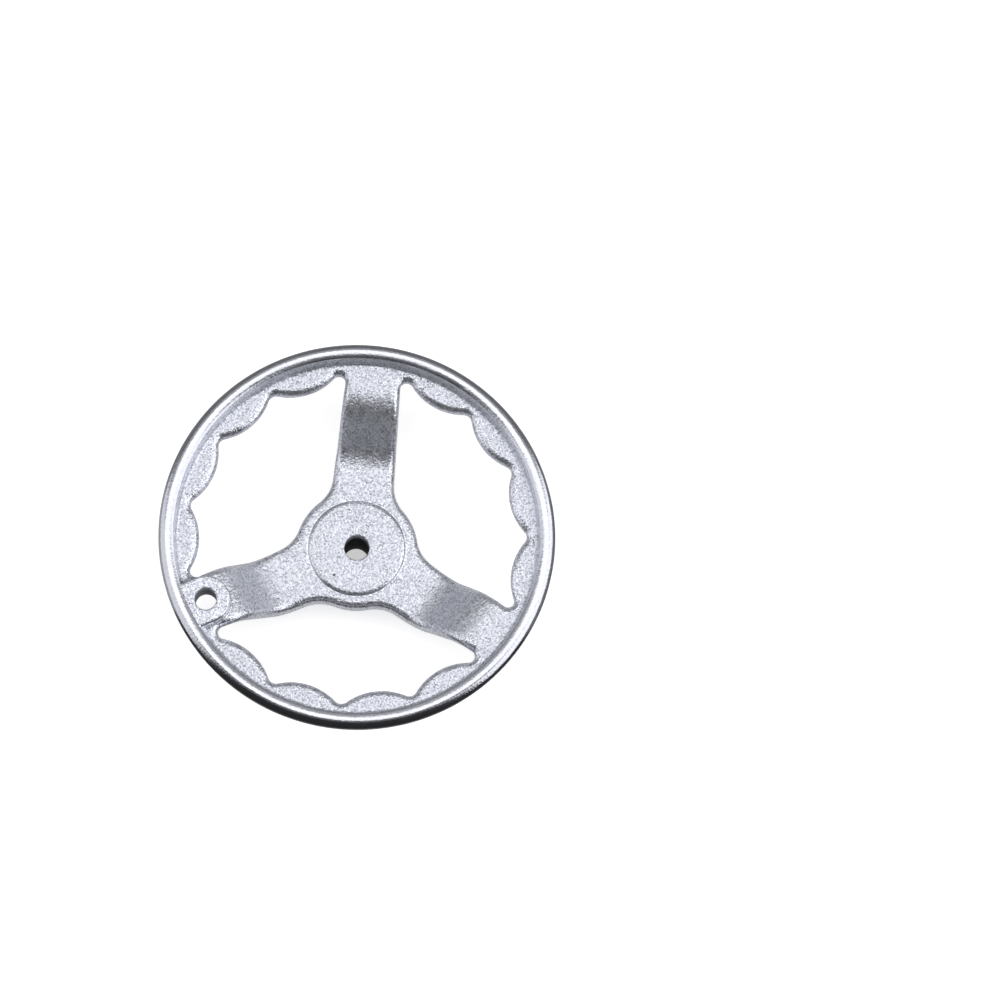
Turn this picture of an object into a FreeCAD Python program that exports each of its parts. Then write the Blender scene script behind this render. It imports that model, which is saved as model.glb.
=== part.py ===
import FreeCAD, Part
import math
import os

# Cast machine handwheel with three dished spokes, a scalloped finger flange and a handle pad
# Millimetres, +Z along the bore, hub back face on z = 0, the spoke with the handle pad along +X

# Rim
OUTER_D = 125.0          # over the rim bead
BEAD_R = 2.6             # crest of the bead
BEAD_RISE = 5.2          # crest above the flange face
BEAD_WALL_DRAFT = 8.0    # degrees, inner side of the bead
COVE_R = 1.0             # between the bead and the flange face

# Finger flange
FLANGE_THICKNESS = 4.5
LOBE_TIP_INSET = 12.7    # rim edge to the tip of a lobe
VALLEY_INSET = 8.8       # rim edge to the bottom of the valley between two lobes
VALLEY_R = 2.5
LOBES_PER_WINDOW = 4
EDGE_ROUND_R = 2.1       # rounded edges of flange and spokes

# Spokes
SPOKES = 3
SPOKE_WIDTH_RIM = 17.6   # at the valleys of the flange
SPOKE_WIDTH_HUB = 20.2   # at the edge of the hub disc
SPOKE_ROOT_THICKNESS = 6.5
NOTCH_R = 2.0            # between a spoke and its first lobe
HUB_BLEND_R = 12.0       # between a spoke and the hub disc
DISH_START_GAP = 0.35    # centre of the notch to the upper bend of a spoke
DISH_END_GAP = 0.8       # end of the hub blend to the lower bend of a spoke
SLOPE_STRAIGHT = 9.0     # straight part of the slope between its two bends
UPPER_BEND_SHARE = 0.55  # upper bend in the sum of both bend radii

# Hub
HUB_LENGTH = 18.0
HUB_DISC_D = 39.4
HUB_FACE_INSET = 4.6     # edge of the disc to the raised face on the front
HUB_BACK_INSET = 5.1     # edge of the disc to the end of the boss
HUB_STEP = 0.6           # raised face above the hub disc
HUB_STEP_RUN = 0.7       # width of the slope round the raised face
HUB_ROOT_R = 1.2         # between the boss and the back of the disc
HUB_BACK_EDGE_R = 0.8
BORE_D = 8.0
DISH_DEPTH = 15.0        # flange face above the hub face

# Handle pad
PAD_WIDTH = 15.4
PAD_RISE = 4.5           # pad top above the flange face
PAD_EDGE_R = 0.3
HANDLE_INSET = 10.5      # rim edge to the centre of the handle hole
HANDLE_HOLE_D = 6.8

# Shop allowances
STOCK = 0.6              # past the outline, which the windows cut away
DRILL_RUNOUT = 1.0       # past the faces that a hole goes through

# Levels and radii that follow
OUTER_R = OUTER_D / 2
FLANGE_TOP = HUB_LENGTH + DISH_DEPTH
FLANGE_BACK = FLANGE_TOP - FLANGE_THICKNESS
DISC_TOP = HUB_LENGTH - HUB_STEP
DISC_BACK = DISC_TOP - SPOKE_ROOT_THICKNESS
DISC_R = HUB_DISC_D / 2
LOBE_TIP_R = OUTER_R - LOBE_TIP_INSET
VALLEY_BOTTOM_R = OUTER_R - VALLEY_INSET
HANDLE_R = OUTER_R - HANDLE_INSET
HUB_FACE_R = DISC_R - HUB_FACE_INSET
HUB_BACK_R = DISC_R - HUB_BACK_INSET
PITCH = 2 * math.pi / (SPOKES * (LOBES_PER_WINDOW + 1))
Z_AXIS = FreeCAD.Vector(0, 0, 1)
ORIGIN = FreeCAD.Vector(0, 0, 0)

# How an edge along a window wall is told from the others
WALL_TOLERANCE = 1e-4
UPRIGHT_COSINE = 0.999


def plan(x, y, z=0.0):
    """Point given by its place in plan."""
    return FreeCAD.Vector(x, y, z)


def section(r, z):
    """Point of a section through the axis, in the XZ plane."""
    return FreeCAD.Vector(r, 0, z)


def polar(radius, angle):
    """Plan point at a radius and an angle in radians."""
    return plan(radius * math.cos(angle), radius * math.sin(angle))


def line(start, end):
    """Straight edge between two points."""
    return Part.LineSegment(start, end).toShape()


def arc(centre, start, end):
    """Arc under 180 degrees about a centre."""
    radius = (start - centre).Length
    middle = centre + ((start - centre) + (end - centre)).normalize() * radius
    return Part.Arc(start, middle, end).toShape()


def touch(centre, radius, other, other_radius):
    """Point where a fillet circle touches another circle from outside."""
    return centre + (other - centre) * (radius / (radius + other_radius))


def turned(shape, index):
    """Copy of a shape turned to the spoke of that number."""
    copy = shape.copy()
    copy.rotate(ORIGIN, Z_AXIS, index * 360.0 / SPOKES)
    return copy


def mirrored(point, angle):
    """Plan point mirrored about a ray from the axis."""
    along = polar(1.0, angle)
    return along * (2 * point.dot(along)) - point


class SpokeSide:
    """Side of the spoke on +X in plan, with its blend into the hub disc."""

    inner = plan(DISC_R, SPOKE_WIDTH_HUB / 2)
    along = (plan(VALLEY_BOTTOM_R, SPOKE_WIDTH_RIM / 2) - inner).normalize()
    across = plan(-along.y, along.x)
    offset = inner.dot(across) + HUB_BLEND_R
    blend = across * offset + along * math.sqrt((DISC_R + HUB_BLEND_R) ** 2 - offset ** 2)
    on_disc = touch(blend, HUB_BLEND_R, ORIGIN, DISC_R)
    start = blend - across * HUB_BLEND_R


def lobe_radius():
    """Radius of a lobe that fits its tip, the valleys beside it and their radius."""
    valley_centre = VALLEY_BOTTOM_R - VALLEY_R
    reach = valley_centre * math.cos(PITCH / 2)
    rise = VALLEY_R ** 2 - LOBE_TIP_R ** 2 + 2 * LOBE_TIP_R * reach - valley_centre ** 2
    return rise / (2 * (LOBE_TIP_R - reach - VALLEY_R))


def notch_centre():
    """Centre of the notch that touches the side of the spoke on +X and the first lobe."""
    lobe_r = lobe_radius()
    lobe = polar(LOBE_TIP_R + lobe_r, PITCH)
    offset = (SpokeSide.inner - lobe).dot(SpokeSide.across) + NOTCH_R
    back = math.sqrt((lobe_r + NOTCH_R) ** 2 - offset ** 2)
    return lobe + SpokeSide.across * offset - SpokeSide.along * back


DISH_START_R = notch_centre().x - DISH_START_GAP
DISH_END_R = SpokeSide.start.Length + DISH_END_GAP


def window_wire():
    """Plan of one window, between the spoke on +X and the next one."""
    lobe_r = lobe_radius()
    lobe_centres = [polar(LOBE_TIP_R + lobe_r, (k + 1) * PITCH) for k in range(LOBES_PER_WINDOW)]
    bisector = math.pi / SPOKES
    side = SpokeSide

    notch = notch_centre()
    side_end = notch - side.across * NOTCH_R
    on_lobe = touch(notch, NOTCH_R, lobe_centres[0], lobe_r)

    edges = [
        arc(side.blend, side.on_disc, side.start),
        line(side.start, side_end),
        arc(notch, side_end, on_lobe),
    ]
    start = on_lobe
    for k in range(LOBES_PER_WINDOW - 1):
        valley = polar(VALLEY_BOTTOM_R - VALLEY_R, (k + 1.5) * PITCH)
        end = touch(valley, VALLEY_R, lobe_centres[k], lobe_r)
        edges.append(arc(lobe_centres[k], start, end))
        start = touch(valley, VALLEY_R, lobe_centres[k + 1], lobe_r)
        edges.append(arc(valley, end, start))

    # The far spoke mirrors the near one
    near = (on_lobe, notch, side_end, side.start, side.blend, side.on_disc)
    far = [mirrored(p, bisector) for p in near]
    edges.append(arc(lobe_centres[-1], start, far[0]))
    edges.append(arc(far[1], far[0], far[2]))
    edges.append(line(far[2], far[3]))
    edges.append(arc(far[4], far[3], far[5]))
    edges.append(arc(ORIGIN, far[5], side.on_disc))
    return Part.Wire(edges)


def rim():
    """Bead, cove and finger flange, turned about the axis."""
    bead = section(OUTER_R - BEAD_R, FLANGE_TOP + BEAD_RISE - BEAD_R)
    back_r = bead.z - FLANGE_BACK
    draft = math.radians(BEAD_WALL_DRAFT)
    outward = section(math.cos(draft), -math.sin(draft))
    down = section(-math.sin(draft), -math.cos(draft))

    wall_top = bead - outward * BEAD_R
    edge = section(OUTER_R, bead.z)
    crest = section(bead.x, bead.z + BEAD_R)
    heel = section(OUTER_R - back_r, FLANGE_BACK)
    fall = (wall_top.z - COVE_R * outward.z - FLANGE_TOP - COVE_R) / -down.z
    cove = wall_top - outward * COVE_R + down * fall
    wall_foot = cove + outward * COVE_R
    cove_foot = section(cove.x, FLANGE_TOP)

    inner_back = section(LOBE_TIP_R - STOCK, FLANGE_BACK)
    inner_top = section(LOBE_TIP_R - STOCK, FLANGE_TOP)
    edges = [
        line(inner_back, heel),
        arc(section(heel.x, bead.z), heel, edge),
        arc(bead, edge, crest),
        arc(bead, crest, wall_top),
        line(wall_top, wall_foot),
        arc(cove, wall_foot, cove_foot),
        line(cove_foot, inner_top),
        line(inner_top, inner_back),
    ]
    return Part.Face(Part.Wire(edges)).revolve(ORIGIN, Z_AXIS, 360)


def hub():
    """Boss, disc and raised face, turned about the axis."""
    top_r = HUB_FACE_R
    step_r = top_r + HUB_STEP_RUN
    boss_top = DISC_BACK
    root = section(top_r + HUB_ROOT_R, boss_top - HUB_ROOT_R)
    back_r = HUB_BACK_R
    back_edge = section(back_r - HUB_BACK_EDGE_R, HUB_BACK_EDGE_R)
    disc_stock = SpokeSide.start.Length + STOCK
    edges = [
        line(section(0, 0), section(back_edge.x, 0)),
        arc(back_edge, section(back_edge.x, 0), section(back_r, back_edge.z)),
        line(section(back_r, back_edge.z), section(top_r, root.z)),
        arc(root, section(top_r, root.z), section(root.x, boss_top)),
        line(section(root.x, boss_top), section(disc_stock, boss_top)),
        line(section(disc_stock, boss_top), section(disc_stock, DISC_TOP)),
        line(section(disc_stock, DISC_TOP), section(step_r, DISC_TOP)),
        line(section(step_r, DISC_TOP), section(top_r, HUB_LENGTH)),
        line(section(top_r, HUB_LENGTH), section(0, HUB_LENGTH)),
        line(section(0, HUB_LENGTH), section(0, 0)),
    ]
    return Part.Face(Part.Wire(edges)).revolve(ORIGIN, Z_AXIS, 360)


class Dish:
    """Section of a spoke: two bends on the front, and the slope between them."""

    run = DISH_START_R - DISH_END_R
    climb = FLANGE_TOP - DISC_TOP
    bends = (run ** 2 + climb ** 2 - SLOPE_STRAIGHT ** 2) / (2 * climb)
    upper_r = UPPER_BEND_SHARE * bends
    lower_r = bends - upper_r
    slope = math.atan2(climb - bends, run) + math.asin(bends / math.hypot(run, climb - bends))
    along = section(math.cos(slope), math.sin(slope))
    normal = section(-math.sin(slope), math.cos(slope))
    upper = section(DISH_START_R, FLANGE_TOP - upper_r)
    lower = section(DISH_END_R, DISC_TOP + lower_r)


def front_line():
    """Front of a spoke from the axis to the flange."""
    foot = section(DISH_END_R, DISC_TOP)
    head = section(DISH_START_R, FLANGE_TOP)
    slope_start = Dish.lower - Dish.normal * Dish.lower_r
    slope_end = Dish.upper + Dish.normal * Dish.upper_r
    return [
        line(section(0, DISC_TOP), foot),
        arc(Dish.lower, foot, slope_start),
        line(slope_start, slope_end),
        arc(Dish.upper, slope_end, head),
        line(head, section(VALLEY_BOTTOM_R, FLANGE_TOP)),
    ]


def back_line():
    """Back of a spoke: as thick as the flange down the slope, then out to the root's thickness."""
    foot = section(DISH_END_R, DISC_BACK)
    head = section(DISH_START_R, FLANGE_BACK)
    slope_end = Dish.upper + Dish.normal * (Dish.upper_r - FLANGE_THICKNESS)
    corner = slope_end - Dish.along * ((slope_end.z - DISC_BACK) / Dish.along.z)
    reach = corner.x - foot.x
    bend_r = reach / math.tan(Dish.slope / 2)
    return [
        line(section(0, DISC_BACK), foot),
        arc(foot + section(0, bend_r), foot, corner + Dish.along * reach),
        line(corner + Dish.along * reach, slope_end),
        arc(Dish.upper, slope_end, head),
        line(head, section(VALLEY_BOTTOM_R, FLANGE_BACK)),
    ]


def spoke_room():
    """Room of the spoke on +X, as wide as the middles of its notches and a little longer."""
    notch = notch_centre()
    along = SpokeSide.along
    near = notch - along * (notch.x / along.x)
    far = notch + along * ((VALLEY_BOTTOM_R - notch.x) / along.x)
    corners = [near, far, plan(far.x, -far.y), plan(near.x, -near.y), near]
    return Part.Face(Part.makePolygon(corners)).extrude(plan(0, 0, FLANGE_TOP))


def spoke_slab():
    """Spoke on +X, wider than the windows leave it."""
    front = front_line()
    back = back_line()
    hub_end = line(section(0, DISC_BACK), section(0, DISC_TOP))
    rim_end = line(front[-1].Vertexes[-1].Point, back[-1].Vertexes[-1].Point)
    edges = [hub_end] + front + [rim_end] + back[::-1]
    slab = Part.Face(Part.Wire(edges)).extrude(plan(0, SPOKE_WIDTH_HUB + 4 * NOTCH_R))
    slab.translate(plan(0, -SPOKE_WIDTH_HUB / 2 - 2 * NOTCH_R))
    return slab.common(spoke_room())


def handle_pad():
    """U-shaped pad that runs from the handle hole into the bead."""
    half = PAD_WIDTH / 2
    bottom = FLANGE_TOP - FLANGE_THICKNESS / 2
    end = OUTER_R - BEAD_R
    centre = plan(HANDLE_R, 0, bottom)
    edges = [
        line(plan(end, -half, bottom), plan(end, half, bottom)),
        line(plan(end, half, bottom), plan(HANDLE_R, half, bottom)),
        arc(centre, plan(HANDLE_R, half, bottom), plan(HANDLE_R - half, 0, bottom)),
        arc(centre, plan(HANDLE_R - half, 0, bottom), plan(HANDLE_R, -half, bottom)),
        line(plan(HANDLE_R, -half, bottom), plan(end, -half, bottom)),
    ]
    pad = Part.Face(Part.Wire(edges)).extrude(plan(0, 0, FLANGE_TOP + PAD_RISE - bottom))
    top = [e for e in pad.Edges if e.BoundBox.ZMin > FLANGE_TOP]
    return pad.makeFillet(PAD_EDGE_R, top)


def drill(x, diameter):
    """Hole right through the casting, along Z."""
    depth = FLANGE_TOP + BEAD_RISE + 2 * DRILL_RUNOUT
    return Part.makeCylinder(diameter / 2, depth, plan(x, 0, -DRILL_RUNOUT))


def window_edges(solid):
    """Edges that the windows leave on the front and the back of the web."""
    wall = window_wire()
    walls = [turned(wall, k) for k in range(SPOKES)]
    found = []
    for edge in solid.Edges:
        middle = edge.valueAt((edge.FirstParameter + edge.LastParameter) / 2)
        if abs(edge.tangentAt(edge.FirstParameter).z) > UPRIGHT_COSINE:
            continue
        foot = Part.Vertex(plan(middle.x, middle.y))
        if min(w.distToShape(foot)[0] for w in walls) < WALL_TOLERANCE:
            found.append(edge)
    return found


def casting():
    """The whole wheel: stock, windows, rounded edges, pad and holes, in that order."""
    ring = rim().cut([turned(spoke_room(), k) for k in range(SPOKES)])
    body = ring.fuse([hub()] + [turned(spoke_slab(), k) for k in range(SPOKES)])
    prism = Part.Face(window_wire()).extrude(plan(0, 0, FLANGE_TOP + BEAD_RISE))
    body = body.cut([turned(prism, k) for k in range(SPOKES)]).removeSplitter()
    body = body.makeFillet(EDGE_ROUND_R, window_edges(body))
    body = body.fuse(handle_pad()).removeSplitter()
    body = body.cut([drill(0, BORE_D), drill(HANDLE_R, HANDLE_HOLE_D)])
    return body.Solids[0]


os.makedirs("parts", exist_ok=True)
handwheel = casting()
handwheel.exportStep("parts/handwheel.step")
print("volume", round(handwheel.Volume / 1000, 2), "cm3", "valid", handwheel.isValid())
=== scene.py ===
"""Looks of a cast and plated machine handwheel: its skin and finish, the studio and the camera."""

from __future__ import annotations

import logging
import math
from dataclasses import dataclass, field
from enum import Enum
from typing import TypeAlias

import bpy
import numpy as np
from mathutils import Matrix, Vector
from mathutils.geometry import delaunay_2d_cdt
from mathutils.kdtree import KDTree

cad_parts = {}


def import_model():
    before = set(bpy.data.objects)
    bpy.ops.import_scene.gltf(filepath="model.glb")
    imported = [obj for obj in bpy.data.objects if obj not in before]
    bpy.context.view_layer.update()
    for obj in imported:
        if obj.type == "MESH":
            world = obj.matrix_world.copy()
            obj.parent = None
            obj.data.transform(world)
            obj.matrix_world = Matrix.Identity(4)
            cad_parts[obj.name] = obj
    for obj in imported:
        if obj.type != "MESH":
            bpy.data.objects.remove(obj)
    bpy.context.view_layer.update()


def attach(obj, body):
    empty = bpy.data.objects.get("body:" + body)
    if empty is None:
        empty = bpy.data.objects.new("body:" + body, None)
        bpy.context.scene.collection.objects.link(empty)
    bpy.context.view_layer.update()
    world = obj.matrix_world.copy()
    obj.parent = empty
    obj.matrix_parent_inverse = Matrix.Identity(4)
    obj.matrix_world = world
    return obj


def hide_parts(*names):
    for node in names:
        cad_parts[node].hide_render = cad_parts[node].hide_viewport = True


LOG = logging.getLogger("handwheel")
MM = 0.001
ROOT = "root"
QUARTER = math.pi / 2
WHITE = (1.0, 1.0, 1.0, 1.0)

# Small forms of the skin, in millimetres and degrees
BEAD_CREST_R = 5.0
BEAD_LEAN = 22.0
BEAD_SHOULDER_R = 0.7
PAD_FOOT = 0.35
PAD_WALL = 0.12
PAD_CROWN = 0.4
HOLE_EASE = 0.22

# Room in plan, in millimetres, and in pitches of the lattice
TOUCHING = 1e-9
MERGED = 1e-7
JOIN_CLEAR = 0.04
LATTICE_CLEAR = 0.55

# Tint of the cards, and points along the bowl's cards, the floor's cards and the floor's edge
CARD_BLUE = 1.04
BOWL_GRID = (16, 24)
FLOOR_TURNS = 32
FLOOR_CORNERS = 96

Color: TypeAlias = "tuple[float, float, float, float]"
Socket: TypeAlias = "bpy.types.NodeSocket"
Feed: TypeAlias = "Socket | float | tuple[float, ...]"


@dataclass(frozen=True)
class Steps:
    """Numbers of points or lines along each form of the mesh."""

    cove: int = 6
    shoulder: int = 7
    crest: int = 5
    outside: int = 14
    boss_arc: int = 7
    hub_step: int = 6
    window_front: int = 9
    window_back: int = 6
    pad_arc: int = 5
    pad_nose: int = 60
    pad_span: int = 30
    hole: int = 64
    boss: int = 160
    hub: int = 240
    rim: int = 640
    wall: int = 4


STEPS = Steps()


def rays(angles: np.ndarray) -> np.ndarray:
    """Unit plan vectors at the given angles."""
    return np.stack([np.cos(angles), np.sin(angles)], -1)


def rise(value: np.ndarray, start: float, width: float) -> np.ndarray:
    """Share from 0 where a value is at the start to 1 where it is a width further."""
    return np.clip((value - start) / width, 0, 1)


def fold(points: np.ndarray, spokes: int, lead: float = 0.0) -> np.ndarray:
    """Turns plan points about the bore into one of the wheel's equal sectors.

    Args:
        points: Plan points.
        spokes: Number of sectors.
        lead: Share of the sector that lies before +X.

    Returns:
        The turned points.
    """
    sector = 2 * math.pi / spokes
    before = lead * sector
    angles = np.mod(np.arctan2(points[:, 1], points[:, 0]) + before, sector) - before
    return np.linalg.norm(points, axis=1)[:, None] * rays(angles)


class NodeGraph:
    """Adds linked nodes to a shader or geometry node tree."""

    def __init__(self, tree: bpy.types.NodeTree) -> None:
        """Starts from an empty tree.

        Args:
            tree: The tree that the nodes go into.
        """
        self.tree = tree
        tree.nodes.clear()

    def add(
        self, kind: str, inputs: dict[int | str, object] | None = None, **settings: object
    ) -> bpy.types.Node:
        """Adds one node.

        Args:
            kind: The node's type name.
            inputs: Socket name or index to a value, or to the output socket that feeds it.
            settings: Properties of the node.

        Returns:
            The new node.
        """
        node = self.tree.nodes.new(kind)
        for name, value in settings.items():
            setattr(node, name, value)
        for key, value in (inputs or {}).items():
            if isinstance(value, bpy.types.NodeSocket):
                self.tree.links.new(value, node.inputs[key])
            else:
                node.inputs[key].default_value = value
        return node

    def math(self, operation: str, *values: Feed) -> Socket:
        """Adds a Math node on the given values and returns its output."""
        node = self.add("ShaderNodeMath", dict(enumerate(values)), operation=operation)
        return node.outputs[0]

    def plus(self, first: Feed, second: Feed) -> Socket:
        """Adds the sum of two values."""
        return self.math("ADD", first, second)

    def minus(self, first: Feed, second: Feed) -> Socket:
        """Adds the difference of two values."""
        return self.math("SUBTRACT", first, second)

    def times(self, first: Feed, second: Feed) -> Socket:
        """Adds the product of two values."""
        return self.math("MULTIPLY", first, second)

    def ramp(
        self, value: Feed, low: float, high: float, start: float = 0.0, end: float = 1.0
    ) -> Socket:
        """Adds a smooth map of a value.

        Args:
            value: The value.
            low: The value that gives the start.
            high: The value that gives the end.
            start: Result at the low value.
            end: Result at the high value.

        Returns:
            The map's output.
        """
        node = self.add(
            "ShaderNodeMapRange",
            {"Value": value, "From Min": low, "From Max": high, "To Min": start, "To Max": end},
            interpolation_type="SMOOTHSTEP",
        )
        return node.outputs["Result"]

    def blend(self, factor: Feed, first: Feed, second: Feed) -> Socket:
        """Adds a colour mix and returns its output."""
        node = self.add("ShaderNodeMix", {"Factor": factor, 6: first, 7: second}, data_type="RGBA")
        return node.outputs[2]

    def attribute(self, name: str) -> Socket:
        """Adds the value of a mark on the mesh."""
        return self.add("ShaderNodeAttribute", attribute_name=name).outputs["Fac"]

    def noise(self, place: Feed, scale: Feed, detail: float, roughness: float = 0.5) -> Socket:
        """Adds noise over a place and returns its factor."""
        inputs = {"Vector": place, "Scale": scale, "Detail": detail, "Roughness": roughness}
        return self.add("ShaderNodeTexNoise", inputs).outputs["Fac"]


@dataclass(frozen=True)
class WheelSizes:
    """Sizes of the wheel, in millimetres from the bore axis and the hub's back face."""

    outer_r: float = 62.5
    bead_r: float = 2.6
    bead_rise: float = 5.2
    bead_draft: float = 8.0
    cove_r: float = 1.0
    flange_thickness: float = 4.5
    lobe_tip_inset: float = 12.7
    valley_inset: float = 8.8
    valley_r: float = 2.5
    lobes: int = 4
    round_r: float = 2.1
    spokes: int = 3
    spoke_width_rim: float = 17.6
    spoke_width_hub: float = 20.2
    root_thickness: float = 6.5
    notch_r: float = 2.0
    hub_blend_r: float = 12.0
    dish_start_gap: float = 0.35
    dish_end_gap: float = 0.8
    slope_straight: float = 9.0
    upper_bend_share: float = 0.55
    hub_length: float = 18.0
    hub_face_r: float = 15.1
    hub_back_r: float = 14.6
    hub_step: float = 0.6
    hub_step_run: float = 0.7
    disc_r: float = 19.7
    hub_root_r: float = 1.2
    hub_back_edge_r: float = 0.8
    bore_r: float = 4.0
    dish_depth: float = 15.0
    pad_half: float = 7.7
    pad_rise: float = 4.5
    handle_inset: float = 10.5
    handle_hole_r: float = 3.4

    @property
    def flange_top(self) -> float:
        """Level of the flange's face."""
        return self.hub_length + self.dish_depth

    @property
    def flange_back(self) -> float:
        """Level of the flange's back."""
        return self.flange_top - self.flange_thickness

    @property
    def disc_top(self) -> float:
        """Level of the hub disc round the raised face."""
        return self.hub_length - self.hub_step

    @property
    def disc_back(self) -> float:
        """Level of the hub disc's back."""
        return self.disc_top - self.root_thickness

    @property
    def lobe_tip(self) -> float:
        """Radius of the lobe tips."""
        return self.outer_r - self.lobe_tip_inset

    @property
    def valley(self) -> float:
        """Radius of the bottom of the valleys."""
        return self.outer_r - self.valley_inset

    @property
    def bead_centre(self) -> tuple[float, float]:
        """Radius and level of the bead's centre."""
        return self.outer_r - self.bead_r, self.flange_top + self.bead_rise - self.bead_r

    @property
    def back_arc_r(self) -> float:
        """Radius of the arc that rounds the rim down to the flange's back."""
        return self.bead_centre[1] - self.flange_back

    @property
    def handle_x(self) -> float:
        """Place of the handle hole along the handle spoke."""
        return self.outer_r - self.handle_inset

    @property
    def pad_top(self) -> float:
        """Level of the handle pad."""
        return self.flange_top + self.pad_rise

    def from_hole(self, points: np.ndarray) -> np.ndarray:
        """Distance in plan from the middle of the handle hole."""
        return np.hypot(points[:, 0] - self.handle_x, points[:, 1])


class Side(Enum):
    """The two skins of the casting."""

    FRONT = "front"
    BACK = "back"


@dataclass(frozen=True)
class Stretch:
    """One arc or straight of a window's outline in plan."""

    start: np.ndarray
    end: np.ndarray
    centre: np.ndarray | None = None
    inward: bool = False

    @property
    def radius(self) -> float:
        """Radius of an arc."""
        return float(np.linalg.norm(self.start - self.centre))

    def sample(self, step: float) -> tuple[np.ndarray, np.ndarray]:
        """Divides the stretch evenly, without its last point.

        Args:
            step: Largest spacing.

        Returns:
            The points, and the unit normals that point into the metal.
        """
        if self.centre is None:
            along = self.end - self.start
            length = np.linalg.norm(along)
            count = max(1, math.ceil(length / step))
            shares = np.arange(count)[:, None] / count
            normal = np.array([along[1], -along[0]]) / length
            return self.start + shares * along, np.tile(normal, (count, 1))
        first, last = self.start - self.centre, self.end - self.centre
        begin = math.atan2(first[1], first[0])
        turn = math.atan2(first[0] * last[1] - first[1] * last[0], float(first @ last))
        count = max(2, math.ceil(abs(turn) * self.radius / step))
        outward = rays(begin + turn * np.arange(count) / count)
        return self.centre + self.radius * outward, -outward if self.inward else outward

    def distance(self, points: np.ndarray) -> np.ndarray:
        """Measures how far points are from the stretch in plan.

        Args:
            points: Plan points.

        Returns:
            The distances, infinite for points that don't lie beside the stretch.
        """
        if self.centre is None:
            along = self.end - self.start
            length = np.linalg.norm(along)
            along = along / length
            reach = (points - self.start) @ along
            off = np.abs((points - self.start) @ np.array([along[1], -along[0]]))
            return np.where((reach >= 0) & (reach <= length), off, np.inf)
        first, last = self.start - self.centre, self.end - self.centre
        middle = first + last
        middle /= np.linalg.norm(middle)
        opening = float(first @ middle) / self.radius
        arms = points - self.centre
        far = np.linalg.norm(arms, axis=1)
        beside = arms @ middle >= opening * far - TOUCHING
        return np.where(beside, np.abs(far - self.radius), np.inf)


@dataclass(frozen=True)
class SpokeSide:
    """Side of the spoke on +X in plan, and the arc that blends it into the hub disc."""

    inner: np.ndarray
    along: np.ndarray
    across: np.ndarray
    blend: np.ndarray
    on_disc: np.ndarray
    start: np.ndarray


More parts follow.
